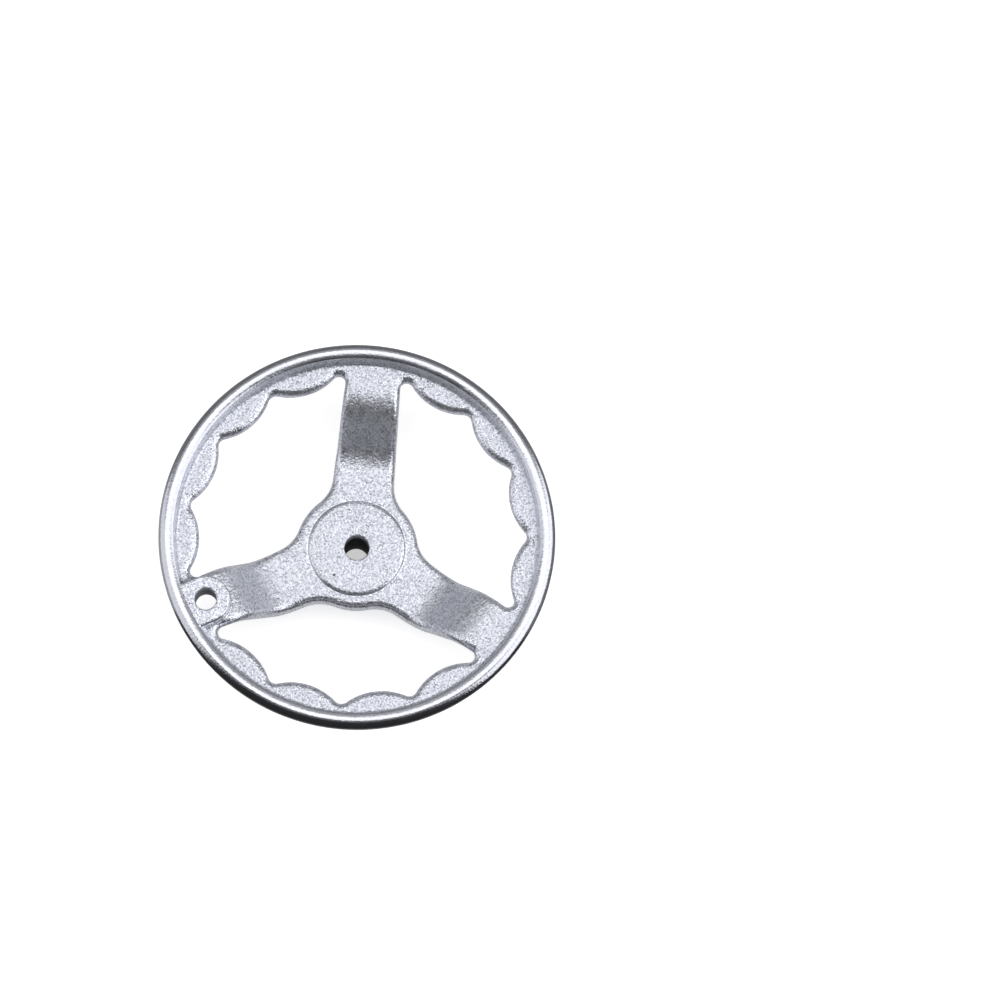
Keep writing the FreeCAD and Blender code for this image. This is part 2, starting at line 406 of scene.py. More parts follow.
class WindowPlan:
    """Outline of the windows between the spokes, with the lobes of the finger flange."""

    def __init__(self, sizes: WheelSizes) -> None:
        """Lays out the window between the spoke on +X and the next one.

        Args:
            sizes: Sizes of the wheel.
        """
        self.sizes = sizes
        self.pitch = 2 * math.pi / (sizes.spokes * (sizes.lobes + 1))
        self.lobe_r = self._lobe_radius()
        self.side = self._spoke_side()
        self.notch = self._notch()
        self.stretches = self._lay_out()

    def _lobe_radius(self) -> float:
        """Works out the radius of a lobe that fits its tip and the valleys beside it.

        Returns:
            The radius.
        """
        s = self.sizes
        middle = s.valley - s.valley_r
        reach = middle * math.cos(self.pitch / 2)
        gap = s.valley_r**2 - s.lobe_tip**2 + 2 * s.lobe_tip * reach - middle**2
        return gap / (2 * (s.lobe_tip - reach - s.valley_r))

    def _spoke_side(self) -> SpokeSide:
        """Works out the spoke's side and its blend into the hub disc.

        Returns:
            The side.
        """
        s = self.sizes
        inner = np.array([s.disc_r, s.spoke_width_hub / 2])
        along = np.array([s.valley, s.spoke_width_rim / 2]) - inner
        along /= np.linalg.norm(along)
        across = np.array([-along[1], along[0]])
        offset = inner @ across + s.hub_blend_r
        run = math.sqrt((s.disc_r + s.hub_blend_r) ** 2 - offset**2)
        blend = across * offset + along * run
        on_disc = blend * (s.disc_r / (s.disc_r + s.hub_blend_r))
        return SpokeSide(inner, along, across, blend, on_disc, blend - across * s.hub_blend_r)

    def _notch(self) -> np.ndarray:
        """Fits the notch between the spoke on +X and the first lobe.

        Returns:
            The notch's centre.
        """
        s, side = self.sizes, self.side
        lobe = self._lobe_centre(0)
        offset = (side.inner - lobe) @ side.across + s.notch_r
        back = math.sqrt((self.lobe_r + s.notch_r) ** 2 - offset**2)
        return lobe + side.across * offset - side.along * back

    def _lobe_centre(self, number: int) -> np.ndarray:
        """Centre of a lobe, counted from the spoke on +X."""
        return self._polar(self.sizes.lobe_tip + self.lobe_r, (number + 1) * self.pitch)

    def _lay_out(self) -> list[Stretch]:
        """Builds the closed row of arcs and straights, the window on its left.

        Returns:
            The row.
        """
        s, side, notch, mirror = self.sizes, self.side, self.notch, self._mirror
        middles = [self._lobe_centre(k) for k in range(s.lobes)]
        side_end = notch - side.across * s.notch_r
        share = s.notch_r / (s.notch_r + self.lobe_r)
        on_lobe = notch + (middles[0] - notch) * share
        row = [
            Stretch(side.on_disc, side.start, side.blend),
            Stretch(side.start, side_end),
            Stretch(side_end, on_lobe, notch),
        ]
        at = on_lobe
        share = s.valley_r / (s.valley_r + self.lobe_r)
        for k in range(s.lobes - 1):
            valley = self._polar(s.valley - s.valley_r, (k + 1.5) * self.pitch)
            near = valley + (middles[k] - valley) * share
            far = valley + (middles[k + 1] - valley) * share
            row += [Stretch(at, near, middles[k], inward=True), Stretch(near, far, valley)]
            at = far
        row += [
            Stretch(at, mirror(on_lobe), middles[-1], inward=True),
            Stretch(mirror(on_lobe), mirror(side_end), mirror(notch)),
            Stretch(mirror(side_end), mirror(side.start)),
            Stretch(mirror(side.start), mirror(side.on_disc), mirror(side.blend)),
            Stretch(mirror(side.on_disc), side.on_disc, np.zeros(2), inward=True),
        ]
        return row

    @staticmethod
    def _polar(radius: float, angle: float) -> np.ndarray:
        """Plan point at a radius and an angle."""
        return radius * np.array([math.cos(angle), math.sin(angle)])

    def _mirror(self, point: np.ndarray) -> np.ndarray:
        """Plan point mirrored about the middle of the window."""
        ray = self._polar(1.0, math.pi / self.sizes.spokes)
        return 2 * (point @ ray) * ray - point

    def outline(self, step: float) -> tuple[np.ndarray, np.ndarray]:
        """Points along the window's edge, at most a step apart, and the normals into the metal."""
        parts = [stretch.sample(step) for stretch in self.stretches]
        return np.concatenate([p for p, _ in parts]), np.concatenate([n for _, n in parts])

    def wall_distance(self, points: np.ndarray) -> np.ndarray:
        """Distance in plan from points of the metal to the nearest window edge."""
        folded = fold(points, self.sizes.spokes)
        return np.min([stretch.distance(folded) for stretch in self.stretches], axis=0)


class Relief:
    """Levels of the casting's front and back over its plan."""

    def __init__(self, sizes: WheelSizes, windows: WindowPlan) -> None:
        """Keeps the sizes and works out the section of the spokes.

        Args:
            sizes: Sizes of the wheel.
            windows: Plan of the windows.
        """
        self.sizes = sizes
        self.windows = windows
        self.start_r = float(windows.notch[0]) - sizes.dish_start_gap
        self.end_r = float(np.linalg.norm(windows.side.start)) + sizes.dish_end_gap
        run = self.start_r - self.end_r
        climb = sizes.flange_top - sizes.disc_top
        bends = (run**2 + climb**2 - sizes.slope_straight**2) / (2 * climb)
        self.upper_r = sizes.upper_bend_share * bends
        self.lower_r = bends - self.upper_r
        lean = math.asin(bends / math.hypot(run, climb - bends))
        self.slope = math.atan2(climb - bends, run) + lean
        self.back_upper_r = self.upper_r - sizes.flange_thickness
        self.back_lower_r = self._back_lower_radius()
        self.rim = np.array(self._rim_profile())
        self.boss = np.array(self._boss_profile())

    def _back_lower_radius(self) -> float:
        """Fits the lower bend on a spoke's back, which starts beside the one on its front.

        Returns:
            The bend's radius.
        """
        s = self.sizes
        reach_u = self.start_r - self.back_upper_r * math.sin(self.slope)
        reach_z = s.flange_back - self.back_upper_r * (1 - math.cos(self.slope))
        corner_u = reach_u - (reach_z - s.disc_back) / math.tan(self.slope)
        return (corner_u - self.end_r) / math.tan(self.slope / 2)

    @staticmethod
    def _arc(
        radius: float, level: float, bend: float, tilts: np.ndarray
    ) -> list[tuple[float, float]]:
        """Radius and level along an arc, given its centre, its own radius and its tilts."""
        return [(radius + bend * math.sin(t), level + bend * math.cos(t)) for t in tilts]

    def _rim_profile(self) -> list[tuple[float, float]]:
        """Lays out the rim's front.

        Returns:
            Radius and level, from the foot of the cove to the outside.
        """
        s = self.sizes
        centre_r, centre_z = s.bead_centre
        draft, lean = math.radians(s.bead_draft), math.radians(BEAD_LEAN)
        edge_r = centre_r - (BEAD_CREST_R - BEAD_SHOULDER_R) * math.sin(lean)
        crest_z = centre_z + s.bead_r - BEAD_CREST_R
        edge_z = crest_z + (BEAD_CREST_R - BEAD_SHOULDER_R) * math.cos(lean)
        tilts = np.linspace(QUARTER - draft, lean, STEPS.shoulder)
        shoulder = self._arc(edge_r, edge_z, BEAD_SHOULDER_R, -tilts)
        tilts = np.linspace(lean, 0, STEPS.crest)[1:]
        crest = self._arc(centre_r, crest_z, BEAD_CREST_R, -tilts)
        tilts = np.linspace(0, QUARTER, STEPS.outside)[1:]
        outside = self._arc(centre_r, centre_z, s.bead_r, tilts)
        top_r, top_z = shoulder[0]
        foot_z = s.flange_top + s.cove_r * (1 - math.sin(draft))
        foot_r = top_r - (top_z - foot_z) * math.tan(draft)
        cove_r = foot_r - s.cove_r * math.cos(draft)
        cove = [
            (cove_r + s.cove_r * math.sin(t), s.flange_top + s.cove_r * (1 - math.cos(t)))
            for t in np.linspace(0, QUARTER - draft, STEPS.cove)
        ]
        middle = ((foot_r + top_r) / 2, (foot_z + top_z) / 2)
        return cove + [middle] + shoulder + crest + outside

    def _boss_profile(self) -> list[tuple[float, float]]:
        """Lays out the hub's back.

        Returns:
            Radius and level, from the bore to the disc.
        """
        s = self.sizes
        edge_r = s.hub_back_r - s.hub_back_edge_r
        root_r = s.hub_face_r + s.hub_root_r
        rows = [(0.0, 0.0)]
        for tilt in np.linspace(0, QUARTER, STEPS.boss_arc):
            drop = s.hub_back_edge_r * (1 - math.cos(tilt))
            rows.append((edge_r + s.hub_back_edge_r * math.sin(tilt), drop))
        for tilt in np.linspace(QUARTER, 0, STEPS.boss_arc):
            level = s.disc_back - s.hub_root_r * (1 - math.cos(tilt))
            rows.append((root_r - s.hub_root_r * math.sin(tilt), level))
        return rows

    def _dished(
        self, u: np.ndarray, low: float, high: float, low_r: float, high_r: float
    ) -> tuple[np.ndarray, np.ndarray]:
        """Works out the section of a spoke, which is flat at both ends.

        Args:
            u: Places along the spoke.
            low: Level at the hub.
            high: Level at the flange.
            low_r: Radius of the lower bend.
            high_r: Radius of the upper bend.

        Returns:
            The levels, and the cosines of the slope.
        """
        steepest = math.sin(self.slope)
        low_u = self.end_r + low_r * steepest
        high_u = self.start_r - high_r * steepest
        low_z = low + low_r * (1 - math.cos(self.slope))
        lower = np.arcsin(np.clip((u - self.end_r) / low_r, 0, steepest))
        upper = np.arcsin(np.clip((self.start_r - u) / high_r, 0, steepest))
        straight = low_z + (u - low_u) * math.tan(self.slope)
        level = np.where(u > high_u, high - high_r * (1 - np.cos(upper)), straight)
        level = np.where(u < low_u, low + low_r * (1 - np.cos(lower)), level)
        tilt = np.where(u < low_u, lower, np.where(u > high_u, upper, self.slope))
        return level, np.cos(tilt)

    def _plain(
        self, points: np.ndarray, low: float, high: float, low_r: float, high_r: float
    ) -> tuple[np.ndarray, np.ndarray]:
        """Works out one side of the spokes, the disc and the flange, with sharp edges.

        Args:
            points: Plan points.
            low: Level of the disc.
            high: Level of the flange.
            low_r: Radius of the spokes' lower bend.
            high_r: Radius of their upper bend.

        Returns:
            The levels, and the cosines of the slope.
        """
        s = self.sizes
        u, v = fold(points, s.spokes, lead=0.5).T
        level, cosine = self._dished(u, low, high, low_r, high_r)
        off_spoke = np.abs(v) > s.spoke_width_hub / 2 + s.notch_r
        beyond = np.linalg.norm(points, axis=1) > s.lobe_tip - s.round_r
        return np.where(off_spoke & beyond, high, level), np.where(off_spoke, 1.0, cosine)

    def _rounded(self, points: np.ndarray, cosine: np.ndarray) -> np.ndarray:
        """Works out the rounding of the edges along the windows.

        Args:
            points: Plan points.
            cosine: Cosines of the slope there.

        Returns:
            How far the surface drops.
        """
        r = self.sizes.round_r
        short = np.clip(1 - self.windows.wall_distance(points) / r, 0, 1)
        return r / cosine * (1 - np.sqrt(1 - short**2))

    def pad_edge(self, points: np.ndarray) -> np.ndarray:
        """Measures how far points are inside the edge of the handle pad.

        Args:
            points: Plan points.

        Returns:
            The distances in plan, negative outside the pad.
        """
        s = self.sizes
        beyond = np.maximum(s.handle_x - points[:, 0], 0)
        inside = s.pad_half - np.hypot(beyond, points[:, 1])
        return np.where(points[:, 0] > 0, inside, -np.inf)

    @property
    def pad_join(self) -> float:
        """Radius at which the pad's top runs into the bead."""
        rising = self.rim[: int(np.argmax(self.rim[:, 1])) + 1]
        return float(np.interp(self.sizes.pad_top, rising[:, 1], rising[:, 0]))

    def _pad(self, points: np.ndarray, base: np.ndarray) -> np.ndarray:
        """Adds the handle pad with a small fillet at its foot and a rounded top edge.

        Args:
            points: Plan points.
            base: Levels without the pad.

        Returns:
            Levels with the pad.
        """
        s = self.sizes
        beyond_crest = np.linalg.norm(points, axis=1) > s.bead_centre[0]
        w = np.where(beyond_crest, -np.inf, self.pad_edge(points))
        high = np.maximum(s.pad_top - base, 0)
        foot = PAD_FOOT * np.clip(high / (4 * PAD_FOOT), 0, 1)
        climb = rise(w, -PAD_FOOT, PAD_FOOT)
        low = base + foot * (1 - np.sqrt(1 - climb**2))
        crown = np.clip((PAD_WALL + PAD_CROWN - w) / PAD_CROWN, 0, 1)
        top = s.pad_top - np.minimum(PAD_CROWN, high) * (1 - np.sqrt(1 - crown**2))
        wall = low + (np.maximum(top, low) - low) * np.clip(w / PAD_WALL, 0, 1)
        return np.where(w >= PAD_WALL, np.maximum(top, base), np.where(w > -PAD_FOOT, wall, base))

    def _eased(self, points: np.ndarray) -> np.ndarray:
        """Works out the small chamfers round the bore and the handle hole.

        Args:
            points: Plan points.

        Returns:
            How far the surface drops.
        """
        s = self.sizes
        from_bore = np.linalg.norm(points, axis=1) - s.bore_r
        from_hole = s.from_hole(points) - s.handle_hole_r
        return HOLE_EASE * np.clip(1 - np.minimum(from_bore, from_hole) / HOLE_EASE, 0, 1)

    def front(self, points: np.ndarray) -> np.ndarray:
        """Works out the front.

        Args:
            points: Plan points.

        Returns:
            Their levels.
        """
        s = self.sizes
        radius = np.linalg.norm(points, axis=1)
        level, cosine = self._plain(points, s.disc_top, s.flange_top, self.lower_r, self.upper_r)
        step = np.clip((s.hub_face_r + s.hub_step_run - radius) / s.hub_step_run, 0, 1)
        level = level + s.hub_step * step * step * (3 - 2 * step)
        rim = self.rim
        level = np.where(radius > rim[0, 0], np.interp(radius, rim[:, 0], rim[:, 1]), level)
        level = self._pad(points, level - self._rounded(points, cosine))
        return level - self._eased(points)

    def back(self, points: np.ndarray) -> np.ndarray:
        """Works out the back.

        Args:
            points: Plan points.

        Returns:
            Their levels.
        """
        s = self.sizes
        radius = np.linalg.norm(points, axis=1)
        bends = self.back_lower_r, self.back_upper_r
        level, cosine = self._plain(points, s.disc_back, s.flange_back, *bends)
        level = level + self._rounded(points, cosine)
        boss = self.boss
        level = np.where(radius < boss[-1, 0], np.interp(radius, boss[:, 0], boss[:, 1]), level)
        turn = np.clip((radius - s.outer_r) / s.back_arc_r + 1, 0, 1)
        arc = s.bead_centre[1] - s.back_arc_r * np.sqrt(1 - turn**2)
        level = np.where(radius > s.outer_r - s.back_arc_r, arc, level)
        return level + self._eased(points)


@dataclass
class PlanLines:
    """Plan points, and the links between them that the triangles keep to."""

    places: list[np.ndarray] = field(default_factory=list)
    links: list[tuple[int, int]] = field(default_factory=list)
    rows: dict[str, list[int]] = field(default_factory=dict)

    def add(self, row: np.ndarray) -> list[int]:
        """Adds points without any links.

        Args:
            row: The points.

        Returns:
            Their numbers.
        """
        first = sum(len(place) for place in self.places)
        self.places.append(row)
        return list(range(first, first + len(row)))

    def link(self, numbers: list[int], closed: bool) -> None:
        """Links points in their order, and the last to the first if closed."""
        pairs = list(zip(numbers, numbers[1:] + numbers[:1]))
        self.links += pairs if closed else pairs[:-1]

    def loop(self, row: np.ndarray, name: str = "") -> None:
        """Adds a closed row of points.

        Args:
            row: The points.
            name: Name to keep their numbers under, if any.
        """
        numbers = self.add(row)
        self.link(numbers, closed=True)
        if name:
            self.rows[name] = numbers

    def circle(self, radius: float, count: int, middle_x: float = 0.0, name: str = "") -> None:
        """Adds a circle round a point of the handle spoke, and keeps its row if it is named."""
        angles = 2 * math.pi * np.arange(count) / count
        self.loop(np.array([middle_x, 0.0]) + radius * rays(angles), name)


@dataclass(frozen=True)
class SkinMesh:
    """One side of the casting: points in millimetres, triangles, and rows along the free edges."""

    points: np.ndarray
    triangles: np.ndarray
    rows: dict[str, np.ndarray]


@dataclass(frozen=True)
class Mesher:
    """Turns one side of the casting into triangles whose lines follow its forms."""

    relief: Relief
    side: Side
    pitch: float
    edge_step: float

    def build(self) -> SkinMesh:
        """Triangulates the plan and lifts it to its level.

        Returns:
            The side's mesh.
        """
        lines = PlanLines()
        self._windows(lines)
        self._circles(lines)
        if self.side is Side.FRONT:
            self._pad_lines(lines)
        fixed = np.concatenate(lines.places)
        plan = np.concatenate([fixed, self._lattice(fixed)])
        vectors = [Vector(place) for place in plan.tolist()]
        made = delaunay_2d_cdt(vectors, lines.links, [], 0, MERGED)
        points = np.array([tuple(place) for place in made[0]])
        triangles = np.array(made[2])
        index = np.full(len(plan), -1)
        for new, old in enumerate(made[3]):
            index[old] = new
        rows = {name: index[row] for name, row in lines.rows.items()}
        triangles = triangles[self._in_metal(points[triangles].mean(axis=1))]
        level = self.relief.front if self.side is Side.FRONT else self.relief.back
        return SkinMesh(np.column_stack([points, level(points)]), triangles, rows)

    def _windows(self, lines: PlanLines) -> None:
        """Adds the window edges and the lines of their rounding.

        Args:
            lines: Lines that get them.
        """
        s = self.relief.sizes
        base, normals = self.relief.windows.outline(self.edge_step)
        count = STEPS.window_front if self.side is Side.FRONT else STEPS.window_back
        for k in range(s.spokes):
            turn = 2 * math.pi * k / s.spokes
            spin = np.array([[math.cos(turn), math.sin(turn)], [-math.sin(turn), math.cos(turn)]])
            for ring, tilt in enumerate(np.linspace(0, QUARTER, count)):
                gap = s.round_r * (1 - math.cos(tilt))
                lines.loop((base + normals * gap) @ spin, "" if ring else f"window_{k}")

    def _circles(self, lines: PlanLines) -> None:
        """Adds the circles of the rim, the hub, the bore and the handle hole.

        Args:
            lines: Lines that get them.
        """
        s = self.relief.sizes
        lines.circle(s.bore_r, STEPS.hole, name="bore")
        lines.circle(s.handle_hole_r, STEPS.hole, s.handle_x, "handle_hole")
        lines.circle(s.bore_r + HOLE_EASE, STEPS.hole)
        lines.circle(s.handle_hole_r + HOLE_EASE, STEPS.hole, s.handle_x)
        if self.side is Side.FRONT:
            for share in np.linspace(0, 1, STEPS.hub_step):
                lines.circle(s.hub_face_r + s.hub_step_run * share, STEPS.hub)
            join = self.relief.pad_join
            for radius in self.relief.rim[:-1, 0]:
                if radius > join + JOIN_CLEAR:
                    lines.circle(radius, STEPS.rim)
                elif radius < join - JOIN_CLEAR:
                    self._open_circle(lines, radius)
        else:
            for radius in self.relief.boss[1:, 0]:
                lines.circle(radius, STEPS.boss)
            for tilt in np.linspace(0, QUARTER, STEPS.outside)[:-1]:
                lines.circle(s.outer_r - s.back_arc_r * (1 - math.sin(tilt)), STEPS.rim)
        lines.circle(s.outer_r, STEPS.rim, name="outside")

    def _open_circle(self, lines: PlanLines, radius: float) -> None:
        """Adds a circle of the rim's inside that stops on both sides of the handle pad.

        Args:
            lines: Lines that get it.
            radius: Its radius.
        """
        clear = math.asin((self.relief.sizes.pad_half + 2 * PAD_FOOT) / radius)
        angles = np.linspace(clear, 2 * math.pi - clear, STEPS.rim)
        lines.link(lines.add(radius * rays(angles)), closed=False)

    def _pad_lines(self, lines: PlanLines) -> None:
        """Adds the lines along the edge of the handle pad, and the one where it joins the bead.

        Args:
            lines: Lines that get them.
        """
        s = self.relief.sizes
        join = self.relief.pad_join
        tilts = np.linspace(0, QUARTER, STEPS.pad_arc)
        gaps = [-PAD_FOOT * (1 - math.sin(t)) for t in tilts]
        gaps += [PAD_WALL + PAD_CROWN * (1 - math.cos(t)) for t in tilts]
        turns = np.linspace(QUARTER, 3 * QUARTER, STEPS.pad_nose)
        ends = []
        for gap in gaps:
            half = s.pad_half - gap
            end_x = math.sqrt(join**2 - half**2)
            count = math.ceil((end_x - s.handle_x) / self.edge_step)
            side = np.linspace(end_x, s.handle_x, count, endpoint=False)
            upper = np.stack([side, np.full(count, half)], 1)
            nose = np.array([s.handle_x, 0.0]) + half * rays(turns)
            numbers = lines.add(np.concatenate([upper, nose, upper[::-1] * [1, -1]]))
            lines.link(numbers, closed=False)
            ends.append((math.asin(half / join), numbers[0], numbers[-1]))
        ends.sort()
        inner, outer = ends[0][0], ends[-1][0]
        step = 2 * math.pi / STEPS.rim
        across = np.arange(-inner + step, inner - step / 2, step)
        last = 2 * math.pi - outer - step / 2
        far = np.linspace(outer + step / 2, last, STEPS.rim - STEPS.pad_span)
        numbers = lines.add(join * rays(np.concatenate([across, far])))
        middle, rest = numbers[: len(across)], numbers[len(across) :]
        left = [end[1] for end in ends]
        right = [end[2] for end in ends]
        lines.link(middle + left + rest + right[::-1], closed=True)

    def _lattice(self, fixed: np.ndarray) -> np.ndarray:
        """Fills the plan between the lines with evenly spaced points.

        Args:
            fixed: Points of all lines.

        Returns:
            The points that lie in the metal and clear of the lines.
        """
        s = self.relief.sizes
        ys = np.arange(-s.outer_r, s.outer_r, self.pitch * math.sqrt(3) / 2)
        xs = np.arange(-s.outer_r, s.outer_r, self.pitch)
        shift = np.where(np.arange(len(ys)) % 2 == 0, 0.0, self.pitch / 2)
        grid = np.stack([np.add.outer(shift, xs), np.repeat(ys[:, None], len(xs), 1)], -1)
        grid = grid.reshape(-1, 2)
        radius = np.linalg.norm(grid, axis=1)
        if self.side is Side.FRONT:
            on_pad = (self.relief.pad_edge(grid) > -PAD_FOOT) & (radius < self.relief.pad_join)
            kept = (radius < self.relief.rim[0, 0]) | on_pad
        else:
            kept = radius < s.outer_r - s.back_arc_r
        kept &= (radius > s.bore_r) & (s.from_hole(grid) > s.handle_hole_r)
        grid = grid[kept]
        grid = grid[self._outside_windows(grid)]
        tree = KDTree(len(fixed))
        for number, place in enumerate(fixed.tolist()):
            tree.insert((*place, 0.0), number)
        tree.balance()
        gap = LATTICE_CLEAR * self.pitch
        clear = [tree.find((x, y, 0.0))[2] > gap for x, y in grid.tolist()]
        return grid[np.array(clear)]

    def _outside_windows(self, points: np.ndarray) -> np.ndarray:
        """Tests points against the windows.

        Args:
            points: Plan points.

        Returns:
            True for each point that isn't in a window.
        """
        x, y = fold(points, self.relief.sizes.spokes).T
        edge, _ = self.relief.windows.outline(self.edge_step)
        inside = np.zeros(len(points), bool)
        for (x0, y0), (x1, y1) in zip(edge, np.roll(edge, -1, axis=0)):
            crosses = (y0 > y) != (y1 > y)
            if y1 != y0:
                inside ^= crosses & (x < (x1 - x0) * (y - y0) / (y1 - y0) + x0)
        return ~inside

    def _in_metal(self, middles: np.ndarray) -> np.ndarray:
        """Tests triangles by their middles.

        Args:
            middles: Middles of the triangles in plan.

        Returns:
            True for each triangle that lies in the metal.
        """
        s = self.relief.sizes
        flat = math.cos(math.pi / STEPS.hole)
        kept = np.linalg.norm(middles, axis=1) > s.bore_r * flat
        kept &= s.from_hole(middles) > s.handle_hole_r * flat
        return kept & self._outside_windows(middles)


@dataclass(frozen=True)
class SkinPatterns:
    """Patterns and marks that the finish reads, as output sockets."""

    place: Socket
    grain: Socket
    lumps: Socket
    patches: Socket
    bead: Socket
    cast: Socket
    drilled_and_shade: Socket
    edge: Socket


@dataclass(frozen=True)
class PlatedCasting:
    """Bright plating over sand-cast metal: grain and dark specks on the flats, a smooth bead."""

    silver: Color = (0.92, 0.94, 1.0, 1.0)
    dull: Color = (0.50, 0.52, 0.575, 1.0)
    polished: Color = (0.68, 0.69, 0.73, 1.0)
    speck: Color = (0.12, 0.125, 0.14, 1.0)
    # Dark of the bare hole walls, also used as painted shade in the holes, along the pad and at
    # the hub's step
    drilled_and_shade: Color = (0.05, 0.05, 0.055, 1.0)
    cast_roughness: float = 0.29
    cast_roughness_spread: tuple[float, float] = (-0.05, 0.08)
    bead_roughness: float = 0.17
    bead_roughness_spread: tuple[float, float] = (-0.03, 0.05)
    drilled_and_shade_roughness: float = 0.95
    edge_wear: float = 0.15
    cast_metal: float = 0.86
    grain_mm: float = 0.66
    grain_detail: float = 1.5
    lump_mm: float = 2.2
    lump_detail: float = 3.0
    fine_roughness: float = 0.6
    patch_mm: float = 9.0
    patch_detail: float = 2.0
    speck_mm: float = 1.5
    speck_edge: tuple[float, float] = (0.20, 0.08)
    speck_patches: tuple[float, float] = (0.50, 0.68)
    grain_in_mottle: float = 0.85
    mottle_edge: tuple[float, float] = (0.60, 0.34)
    bead_mottle: float = 0.4
    wander: tuple[float, float] = (0.3, 0.7)
    grain_height: float = 0.9
    lump_height: float = 0.8
    speck_depth: float = 0.5
    bead_relief: float = 0.16
    edge_relief: float = 0.6
    bump: float = 0.0003
    pit: tuple[float, float, float] = (0.01035, 0.0052, 0.018)
    pit_mm: float = 0.55
    pit_core: float = 0.4

    def material(self) -> bpy.types.Material:
        """Builds the node material.

        Returns:
            The material.
        """
        made = bpy.data.materials.new("plated_casting")
        made.use_nodes = True
        graph = NodeGraph(made.node_tree)
        skin = self._patterns(graph)
        speck = self._specks(graph, skin)
        height = self._height(graph, skin, speck)
        relief = {"Strength": 1.0, "Distance": self.bump, "Height": height}
        shader = graph.add(
            "ShaderNodeBsdfPrincipled",
            {
                "Base Color": self._colour(graph, skin, speck),
                "Metallic": graph.ramp(skin.cast, 0.0, 1.0, 1.0, self.cast_metal),
                "Roughness": self._roughness(graph, skin),
                "Normal": graph.add("ShaderNodeBump", relief).outputs[0],
            },
        )
        graph.add("ShaderNodeOutputMaterial", {"Surface": shader.outputs[0]})
        return made

    def _patterns(self, graph: NodeGraph) -> SkinPatterns:
        """Adds the patterns of the skin and reads its marks.

        Args:
            graph: The material's nodes.

        Returns:
            The patterns and marks.
        """
        place = graph.add("ShaderNodeTexCoord").outputs["Object"]
        bead = graph.attribute("bead")
        fine = self.fine_roughness
        return SkinPatterns(
            place=place,
            grain=graph.noise(place, 1 / (self.grain_mm * MM), self.grain_detail, fine),
            lumps=graph.noise(place, 1 / (self.lump_mm * MM), self.lump_detail, fine),
            patches=graph.noise(place, 1 / (self.patch_mm * MM), self.patch_detail),
            bead=bead,
            cast=graph.minus(1.0, bead),
            drilled_and_shade=graph.attribute("drilled_and_shade"),
            edge=graph.attribute("edge"),
        )

    def _specks(self, graph: NodeGraph, skin: SkinPatterns) -> Socket:
        """Adds the dark specks of the cast skin and the one clear pit on the hub's face.

        Args:
            graph: The material's nodes.
            skin: Patterns and marks.

        Returns:
            How much of a speck each place is.
        """
        cells = graph.add(
            "ShaderNodeTexVoronoi",
            {"Vector": skin.place, "Scale": 1 / (self.speck_mm * MM), "Randomness": 1.0},
        ).outputs["Distance"]
        speck = graph.times(
            graph.ramp(cells, *self.speck_edge), graph.ramp(skin.patches, *self.speck_patches)
        )
        speck = graph.times(speck, skin.cast)
        to_pit = graph.add(
            "ShaderNodeVectorMath", {0: skin.place, 1: self.pit}, operation="DISTANCE"
        ).outputs["Value"]
        pit = graph.ramp(to_pit, self.pit_mm * MM, self.pit_core * self.pit_mm * MM)
        return graph.math("MAXIMUM", speck, pit)

    def _colour(self, graph: NodeGraph, skin: SkinPatterns, speck: Socket) -> Socket:
        """Adds the colour: mottled silver with specks, the rubbed bead, and the dark of the bare
        hole walls with painted shade in the holes, along the pad and at the hub's step.

        Args:
            graph: The material's nodes.
            skin: Patterns and marks.
            speck: The specks.

        Returns:
            The colour.
        """
        low = graph.plus(
            graph.times(skin.grain, self.grain_in_mottle),
            graph.times(skin.lumps, 1 - self.grain_in_mottle),
        )
        mottle = graph.ramp(low, *self.mottle_edge)
        colour = graph.blend(graph.times(mottle, skin.cast), self.silver, self.dull)
        colour = graph.blend(speck, colour, self.speck)
        rubbed = graph.blend(graph.times(mottle, self.bead_mottle), self.polished, self.dull)
        colour = graph.blend(skin.bead, colour, rubbed)
        # Blends in the dark of the bare hole walls and the painted shade in the holes, along the
        # pad and at the hub's step
        return graph.blend(skin.drilled_and_shade, colour, self.drilled_and_shade)

    def _roughness(self, graph: NodeGraph, skin: SkinPatterns) -> Socket:
        """Adds the roughness: uneven on the skin and the bead, low on worn edges.

        Args:
            graph: The material's nodes.
            skin: Patterns and marks.

        Returns:
            The roughness.
        """
        spread = [self.cast_roughness + step for step in self.cast_roughness_spread]
        rough = graph.ramp(skin.lumps, *self.wander, *spread)
        spread = [self.bead_roughness + step for step in self.bead_roughness_spread]
        smooth = graph.ramp(skin.patches, *self.wander, *spread)
        rough = graph.plus(graph.times(rough, skin.cast), graph.times(smooth, skin.bead))
        rough = graph.minus(rough, graph.times(skin.edge, self.edge_wear))
        rough = graph.times(rough, graph.minus(1.0, skin.drilled_and_shade))
        return graph.plus(rough, graph.times(skin.drilled_and_shade, self.drilled_and_shade_roughness))

    def _height(self, graph: NodeGraph, skin: SkinPatterns, speck: Socket) -> Socket:
        """Adds the fine relief, which is lower on the bead and along worn edges.

        Args:
            graph: The material's nodes.
            skin: Patterns and marks.
            speck: The specks.

        Returns:
            The height, as a share of the bump's distance.
        """
        height = graph.plus(
            graph.times(skin.grain, self.grain_height), graph.times(skin.lumps, self.lump_height)
        )
        height = graph.minus(height, graph.times(speck, self.speck_depth))
        depth = graph.plus(graph.times(skin.cast, 1 - self.bead_relief), self.bead_relief)
        worn = graph.minus(1.0, graph.times(skin.edge, self.edge_relief))
        return graph.times(height, graph.times(depth, worn))


